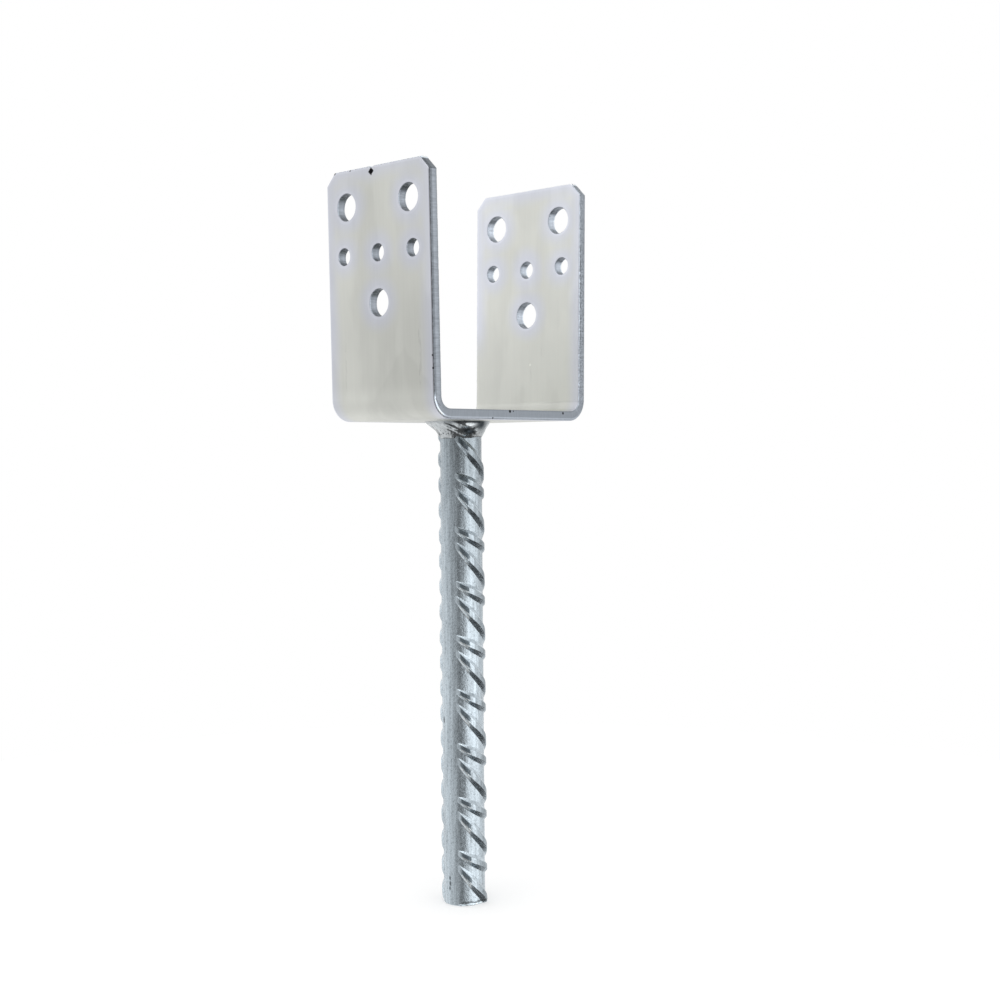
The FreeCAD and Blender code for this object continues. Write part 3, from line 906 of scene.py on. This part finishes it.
def make_bar_mesh(sizes, top, bottom):
    """Points, faces and attributes of the ribbed bar."""
    length_down = top - bottom
    columns, depths = bar_grid(sizes, length_down - BREAK_EDGE)
    azimuth, depth = np.tile(columns, len(depths)), depths.ravel()
    ribs = rib_relief(azimuth, depth, sizes, length_down)
    ways = rays(azimuth)
    core = sizes.core / 2
    place = spun(ways, core, -depth)
    rolled = sum(height * wavy(place * stretch, waves, seed)
                 for height, stretch, waves, seed in ROLLED)
    radius = core + ribs[0] + (rolled - SKIN) * MM
    points = [spun(ways, radius, top - depth)]
    shares = [(*ribs, np.zeros(len(azimuth)))]

    # Broken edge and cut face at the lower end
    count = len(columns)
    last = radius[-count:]
    for back, down in END_RINGS:
        spot = spun(ways[-count:], np.maximum(last - back * MM, 0.3 * MM), bottom)
        sunk = BREAK_EDGE * (1 - down) + END_DISH * (1 + wavy(spot, 500, 8)) * (down == 1.0)
        spot[:, 2] = bottom + sunk
        points.append(spot)
        shares.append((*np.zeros((4, count)), np.ones(count)))
    points.append(np.array([[0.0, 0.0, bottom + END_DISH], [0.0, 0.0, top]]))
    shares.append((*np.zeros((4, 2)), np.ones(2)))

    row_count = len(depths) + len(END_RINGS)
    numbers = np.arange(row_count * count).reshape(row_count, count)
    faces = grid_faces(numbers.tolist())
    end_centre, top_centre = row_count * count, row_count * count + 1
    faces += [(int(a), int(b), end_centre)
              for a, b in zip(np.roll(numbers[-1], -1), numbers[-1])]
    faces += [(int(a), int(b), top_centre)
              for a, b in zip(numbers[0], np.roll(numbers[0], -1))]
    names = ("relief", "side", "way", "over", "cut")
    attributes = {name: np.concatenate(values) for name, values in zip(names, zip(*shares))}
    return np.concatenate(points), faces, attributes


def bar_material(sizes, bottom):
    """Glossy mottled zinc on the bar, duller in the corners of its ribs from painted shade, with
    painted highlights on the ribs and painted light and shade along the bar.
    """
    material, shader = new_material("zinc_bar")
    place = shader.place()
    x, y, z = shader.axes(place)
    relief = shader.lengths("relief")[0]
    side, way, over, cut = shader.attributes("side", "way", "over", "cut")
    mottle = shader.noise(place, 1100.0, 3.0, 0.7)
    fine = shader.noise(place, 3200.0)
    drawn = shader.noise(place, 800.0, upright=0.06)
    clouds = shader.noise(place, 110.0, upright=0.3)

    # Parts of a rib: its lower flank, both flanks and its head, and on the head, by the way round
    # the bar, a dull patch of painted shade at the rear, a painted highlight line below that, a
    # painted highlight blob next to it and the front. The lower flank gets painted shade, the
    # flanks at the rear painted light and the front of the head painted shade
    under = side.ramp(0.15, 0.75)
    flank = abs(side).ramp(0.3, 0.9) * relief.ramp(0.02, 0.1)
    head = abs(side).ramp(0.7, 0.2) * relief.ramp(0.1, 0.4)
    rear = (way + mottle.swing(0.08)).ramp(-0.4, -0.44)
    highlight_blob = (1 - rear) * way.ramp(-0.2, -0.27) * relief.ramp(0.9, 1.2)
    front = (1 - rear) * way.ramp(0.6, 0.3)
    patch = head * rear * way.ramp(-0.84, -0.76)
    line = patch * over.ramp(0.4, 0.7)

    # Painted shade on the lower flanks and in the rear patch, together with the real dull mottled
    # spots
    dull_and_shade = under * relief.ramp(0.05, 0.5) * 0.35
    dull_and_shade = dull_and_shade.larger(mottle.ramp(0.54, 0.72) * 0.6)
    dull_and_shade = dull_and_shade.larger((patch - line) * (0.1 + mottle * 1.5))
    light = 0.92 + mottle.swing(1.4) + clouds.swing(0.4) + drawn.swing(0.8)
    light = light * (1 + flank * rear * (0.1 + 0.9 * under) + (highlight_blob * 0.45 - front * 0.36) * head)
    light = light * (1 + line * 0.8)

    # Painted shade near the weld, under the plate, and painted light in the lower half
    light = light * (1 - 0.22 * z.ramp(-45, -12))
    light = light * (0.95 + 0.2 * z.ramp(-45, -105))
    tint = shader.shade(shader.mix(dull_and_shade, sizes.zinc, sizes.dull_and_shade), light)

    pits = shader.noise(place, 620.0, 1.0).ramp(0.76, 0.8) * 0.5
    halved = shader.stretch(place, (1.0, 1.0, 0.5))
    for centre, radius in BAR_MARKS:
        pits = pits.larger(shader.spot(halved, centre, radius))
    tint = shader.mix(pits * 0.8, tint, sizes.pit)

    # Sheared lip at the lower end, lit by a painted highlight, under a darker burr
    above = z - bottom / MM + shader.noise(place, 420.0).swing(2.2)
    sheared_side = (x - y).ramp(-3, 1)
    burr = abs(above - 1.5).ramp(0.6, 0.2) * sheared_side
    lip_highlight = above.ramp(1.3, 0.9) * sheared_side
    tint = shader.shade(tint, (1 - burr * 0.6) * (1 + lip_highlight * 0.35) * (1 + cut * 0.3))
    tint = shader.field("ShaderNodeVectorMath", 0, {"operation": "MINIMUM"},
                        {0: tint, 1: sizes.bright})

    rough = sizes.roughness + mottle.swing(0.16) + dull_and_shade * 0.2 + cut * 0.15
    normal = shader.bump(mottle * 0.7 + fine * 0.3 + drawn * 0.5, 0.85, 0.26 * MM)
    shader.finish_metal(tint, rough, normal)
    return material


class POSTBASE_OT_roll_bar(bpy.types.Operator):
    """Roll the ribbed bar with rounded ribs and a sawn end"""

    bl_idname = "post_base.roll_bar"
    bl_label = "Ribbed bar"

    def execute(self, context):
        sizes = context.scene.post_base_bar
        low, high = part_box("anchor_bar")
        add_piece("ribbed_bar", make_bar_mesh(sizes, high.z, low.z), bar_material(sizes, low.z),
                  "anchor_bar")
        return {"FINISHED"}


# Weld

# The weld is widest on the side of the left flange's back corner, at this azimuth
WIDE_SIDE = math.radians(133.6)

# Mesh of the weld round and down, and how far it runs past its section into plate and bar
WELD_COLUMNS, WELD_ROWS, SUNK = 240, 56, 0.02

# Lumps of the weld: share of their height, waves in a metre and seed
LUMPS = ((0.9, 210, 32), (0.5, 480, 33), (0.12, 1300, 34))

# Drops, pits and spots of painted shade and dark reflection on the weld: azimuth in degrees,
# share of the way down, half width in degrees, half height as a share, and height in
# millimetres or, for the painted spots, strength
WELD_DROPS = ((-117, 0.27, 13, 0.11, 0.85), (-150, 0.42, 9, 0.1, 0.3), (-163, 0.25, 7, 0.12, 0.25),
              (-125, 0.72, 9, 0.09, 0.35), (-95, 0.6, 8, 0.12, 0.4))
WELD_PITS = ((-203, 0.74, 2.6, 0.035, -0.3), (-192, 0.76, 2.2, 0.03, -0.3),
             (-182, 0.71, 2.8, 0.04, -0.35), (-173, 0.75, 2.2, 0.03, -0.25),
             (-166, 0.69, 2.4, 0.03, -0.25))
WELD_SHADE_SPOTS = ((-122, 0.58, 13, 0.2, 1.0), (-86, 0.26, 19, 0.34, 1.1), (-145, 0.08, 26, 0.07, 0.8),
               (-104, 0.08, 14, 0.07, 0.8), (-108, 0.62, 10, 0.18, 0.8))


def weld_spots(spots, azimuth, share_down):
    """Sum of soft round spots on the weld."""
    return sum(height * np.exp(-(((np.degrees(azimuth) - middle + 180) % 360 - 180) / wide) ** 2
                               - ((share_down - level) / tall) ** 2)
               for middle, level, wide, tall, height in spots)


def make_weld_mesh(sizes, core, top):
    """Points, faces and attributes of the lumpy fillet weld."""
    count, steps = WELD_COLUMNS, WELD_ROWS
    azimuth, share_down = [grid.ravel() for grid in np.meshgrid(
        np.linspace(0, 2 * math.pi, count, endpoint=False), np.linspace(0, 1, steps))]
    ways = rays(azimuth)
    lopsided = np.cos(azimuth - WIDE_SIDE)
    wander = wavy(spun(ways, 1, 0) * 9 * MM, 260, 31)
    across = sizes.across + sizes.across_skew * lopsided + 0.35 * MM * wander
    down = sizes.down + sizes.down_skew * lopsided + 0.3 * MM * np.roll(wander, 40)
    hollow = (0.55 + 0.45 * lopsided) * 0.9 * MM

    # The section runs from the plate to the bar, a little sunk into both
    run = 1.08 * share_down - SUNK
    slope = np.arctan2(down, across)
    sag = hollow * np.sin(math.pi * np.clip(share_down, 0, 1))
    radius = core + across * (1 - run) - sag * np.sin(slope)
    drop = down * run - sag * np.cos(slope)
    place = spun(ways, radius, -drop)

    # Lumps, drops and pits, and the ripples that the moving weld pool left across the bead,
    # which fade towards both toes
    fade = np.clip(share_down * 6, 0, 1) * np.clip((1 - share_down) * 9, 0, 1)
    lumps = sum(part * wavy(place, waves, seed) for part, waves, seed in LUMPS)
    ripple = np.sin(azimuth * 46 + 5.0 * share_down + 1.6 * wander)
    rippled = np.exp(-((np.degrees(azimuth) - 205) / 15) ** 2 - ((share_down - 0.4) / 0.25) ** 2)
    slanting = np.sin((azimuth % (2 * math.pi)) * 28 - share_down * 35 + 2 * wander)
    out = fade * (sizes.lumps * lumps + (0.015 * ripple + 0.07 * rippled * slanting) * MM)
    drops = weld_spots(WELD_DROPS, azimuth, share_down)
    pits = weld_spots(WELD_PITS, azimuth, share_down)
    out += (drops + pits) * MM
    radius = radius + out * np.sin(slope)
    drop = drop + out * np.cos(slope)
    points = spun(ways, radius, top - np.maximum(drop, -0.05 * MM))

    # An unseen wall inside the bar closes the weld
    numbers = np.arange(count * (steps + 2)).reshape(-1, count).tolist()
    high, low = numbers[steps:]
    faces = grid_faces(numbers[:steps])
    for first, second in ((numbers[0], high), (low, numbers[steps - 1]), (high, low)):
        faces += strip_faces(first, second)
    closing = [spun(ways[:count], core - 0.9 * MM, level)
               for level in (top, points[-count:, 2])]
    points = np.concatenate([points, *closing])
    attributes = {"toe": np.minimum(share_down, 0.955 - share_down), "lower": share_down,
                  "hollow": np.clip(-lumps * 1.4, 0, 1) * fade,
                  "pitted": np.clip(-pits * 3.6, 0, 1), "raised": np.clip(drops * 2, 0, 1),
                  "stained": weld_spots(WELD_SHADE_SPOTS, azimuth, share_down)}
    unseen = np.zeros(2 * count)
    return points, faces, {name: np.concatenate([values, unseen])
                           for name, values in attributes.items()}


def weld_material(sizes):
    """Bright zinc on the weld with dark pits and toes, painted shade in its hollows, under the
    plate and in dark spots, and painted highlights on its drops.
    """
    material, shader = new_material("zinc_weld")
    place = shader.place()
    toe, hollow, lower, raised, stained, pitted = shader.attributes(
        "toe", "hollow", "lower", "raised", "stained", "pitted")
    mottle = shader.noise(place, 700.0, 3.0, 0.6)
    fine = shader.noise(place, 2600.0)
    # Painted shade in the hollows between the lumps
    tint = shader.mix(hollow.ramp(0.25, 0.9) * 0.6, sizes.zinc, sizes.hollow)
    # The drops get a painted highlight
    tint = shader.shade(tint, 0.85 + mottle.swing(0.5) + raised * 0.4)
    dark = (toe + mottle.swing(0.06)).ramp(0.07, 0.025)
    # Painted shade on the weld's upper band, under the plate, except on the drops
    upper = (lower + mottle.swing(0.2)).ramp(0.24, 0.1)
    dark = (dark * 0.68).larger(upper * 0.3 * (1 - raised))
    # Painted shade and dark reflections in the shade spots
    dark = dark.larger((stained * (0.5 + mottle * 0.9)).smaller(1.0))
    pits = shader.noise(place, 1000.0, 1.0).ramp(0.69, 0.75)
    pits = pits.larger(pitted.ramp(0.3, 0.7))
    tint = shader.mix(dark.larger(pits * 0.85), tint, sizes.hollow)
    rough = sizes.roughness + mottle.swing(0.15) + dark * 0.2
    normal = shader.bump(mottle * 0.7 + fine * 0.3, 0.5, 0.18 * MM)
    shader.finish_metal(tint, rough, normal)
    return material


class POSTBASE_OT_lay_weld(bpy.types.Operator):
    """Lay the lumpy fillet weld round the top of the bar"""

    bl_idname = "post_base.lay_weld"
    bl_label = "Weld"

    def execute(self, context):
        sizes = context.scene.post_base_weld
        core = context.scene.post_base_bar.core / 2
        shape = make_weld_mesh(sizes, core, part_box("weld_bead")[1].z)
        add_piece("weld", shape, weld_material(sizes), "weld_bead")
        return {"FINISHED"}


# Studio

# Brightness that the metal mirrors, by the angle from the camera's side, clockwise from above
# as degrees and light: the dark camera side lies between two tall soft lights
ROOM = ((-180, 1.1), (-140, 1.15), (-110, 1), (-85, 0.95), (-64, 0.78), (-50, 0.6), (-36, 0.57),
        (-26, 0.36), (-12, 0.215), (-2, 0.22), (7, 0.47), (15, 0.85), (26, 1.2), (40, 1.5),
        (80, 1.75), (98, 1), (130, 0.95), (180, 1.1))

# Brightness above the room's walls, and of the dark ground in front and to the right
CEILING, GROUND = 0.85, 0.12
WHITE = (1.0, 1.0, 1.0, 1.0)
FLOOR_PAINT = (0.8, 0.8, 0.8, 1.0)

# Place and side length of the soft lamp above the object, in metres
LAMP_PLACE, LAMP_SIZE = (-0.25, -0.1, 0.9), 0.9


def floor_material(lift):
    """White floor that keeps the object's soft shadow and stays out of the metal."""
    material, shader = new_material("pale_floor")
    paint = shader.field("ShaderNodeBsdfDiffuse", 0, None, {"Color": FLOOR_PAINT})
    glow = shader.field("ShaderNodeEmission", 0, None, {"Color": WHITE, "Strength": lift})
    lit = shader.field("ShaderNodeAddShader", 0, None, {0: paint, 1: glow})
    clear = shader.field("ShaderNodeBsdfTransparent", 0)
    shown = shader.blend(shader.ray("Glossy"), paint, clear)
    surface = shader.blend(shader.ray("Camera"), shown, lit)
    shader.node("ShaderNodeOutputMaterial", None, {"Surface": surface})
    return material


def light_room(studio):
    """World light: white to the camera, even for dull surfaces, and for what the metal
    mirrors a room that is darker at the camera's side."""
    world = bpy.data.worlds.new("studio")
    bpy.context.scene.world = world
    world.cycles.sampling_method = "NONE"
    shader = Shader(world)
    x, y, z = shader.parts(shader.field("ShaderNodeTexCoord", "Generated"))
    sine, cosine = math.sin(studio.azimuth), math.cos(studio.azimuth)
    ahead = x * sine + y * -cosine
    beside = x * cosine + y * sine
    around = shader.math("ARCTAN2", beside, ahead) / (2 * math.pi) + 0.5
    brightest = max(light for degrees, light in ROOM)
    stops = [(degrees / 360 + 0.5, light / brightest) for degrees, light in ROOM]
    walls = shader.curve(around, stops) * brightest
    walls = walls * (0.97 + 0.3 * z.ramp(-0.05, 0.4))
    above = z.ramp(0.35, 0.7)
    seen = walls * (1 - above) + above * CEILING
    below = z.ramp(-0.5, -0.64) * (ahead * 0.79 + beside * 0.614).ramp(-0.04, 0.08)
    seen = seen * (1 - below) + below * GROUND
    glossy, camera = shader.ray("Glossy"), shader.ray("Camera")
    light = glossy * seen * studio.level + (1 - glossy) * studio.level
    light = light * (1 - camera) + camera
    surface = shader.field("ShaderNodeBackground", 0, None, {"Color": WHITE, "Strength": light})
    shader.node("ShaderNodeOutputWorld", None, {"Surface": surface})


def add_lamp(power):
    """The soft square lamp above the object."""
    data = bpy.data.lights.new("soft_top", "AREA")
    data.shape = "RECTANGLE"
    data.size = data.size_y = LAMP_SIZE
    data.energy = power
    lamp = bpy.data.objects.new("soft_top", data)
    lamp.location = LAMP_PLACE
    lamp.rotation_mode = "QUATERNION"
    lamp.rotation_quaternion = (-Vector(LAMP_PLACE)).to_track_quat("-Z", "Y")
    bpy.context.scene.collection.objects.link(lamp)


def add_camera(studio):
    """The camera at the photograph's place, turned about its own axis as that one was."""
    turn, rise, roll = studio.azimuth, studio.elevation, studio.roll
    back = Vector((math.sin(turn) * math.cos(rise), -math.cos(turn) * math.cos(rise),
                   math.sin(rise)))
    level = Vector((math.cos(turn), math.sin(turn), 0.0))
    up = back.cross(level)
    across = level * math.cos(roll) + up * math.sin(roll)
    upright = up * math.cos(roll) - level * math.sin(roll)
    data = bpy.data.cameras.new("camera")
    data.sensor_width = 36.0
    data.lens = studio.lens
    data.clip_start, data.clip_end = 0.01, 50.0
    camera = bpy.data.objects.new("camera", data)
    camera.matrix_world = Matrix.Translation(studio.stand) @ Matrix(
        (across, upright, back)).transposed().to_4x4()
    bpy.context.scene.collection.objects.link(camera)
    bpy.context.scene.camera = camera


class POSTBASE_OT_set_stage(bpy.types.Operator):
    """Set up the floor, the lights and the camera"""

    bl_idname = "post_base.set_stage"
    bl_label = "Studio"

    def execute(self, context):
        studio = context.scene.post_base_studio
        turn = np.linspace(0, 2 * math.pi, 96, endpoint=False)
        ring = spun(rays(turn), studio.floor, CAD_BOX[0].z)
        mesh = bpy.data.meshes.new("floor")
        mesh.from_pydata(ring.tolist(), [], [list(range(len(ring)))])
        mesh.materials.append(floor_material(studio.lift))
        floor = bpy.data.objects.new("floor", mesh)
        context.scene.collection.objects.link(floor)
        light_room(studio)
        add_lamp(studio.lamp)
        add_camera(studio)
        context.scene.view_settings.view_transform = "Standard"
        return {"FINISHED"}


# Panel and registration

class POSTBASE_PT_parts(bpy.types.Panel):
    """Lists the pieces and their settings"""

    bl_label = "Post base"
    bl_idname = "POSTBASE_PT_parts"
    bl_space_type = "VIEW_3D"
    bl_region_type = "UI"
    bl_category = "Post base"

    def draw(self, context):
        for operator, group in STEPS:
            box = self.layout.box()
            box.operator(operator.bl_idname)
            settings = getattr(context.scene, group)
            for name in settings.__annotations__:
                box.prop(settings, name)


GROUPS = (("post_base_strap", PostBaseStrap), ("post_base_bar", PostBaseBar),
          ("post_base_weld", PostBaseWeld), ("post_base_studio", PostBaseStudio))
STEPS = ((POSTBASE_OT_fold_strap, "post_base_strap"), (POSTBASE_OT_roll_bar, "post_base_bar"),
         (POSTBASE_OT_lay_weld, "post_base_weld"), (POSTBASE_OT_set_stage, "post_base_studio"))
CLASSES = [group for name, group in GROUPS] + [step for step, name in STEPS] + [POSTBASE_PT_parts]


def register():
    for item in CLASSES:
        bpy.utils.register_class(item)
    for name, group in GROUPS:
        setattr(bpy.types.Scene, name, PointerProperty(type=group))


def unregister():
    for name, group in GROUPS:
        delattr(bpy.types.Scene, name)
    for item in reversed(CLASSES):
        bpy.utils.unregister_class(item)


def main():
    """Make every piece and the studio."""
    register()
    bpy.ops.post_base.fold_strap()
    bpy.ops.post_base.roll_bar()
    bpy.ops.post_base.lay_weld()
    bpy.ops.post_base.set_stage()


if __name__ == "__main__":
    main()
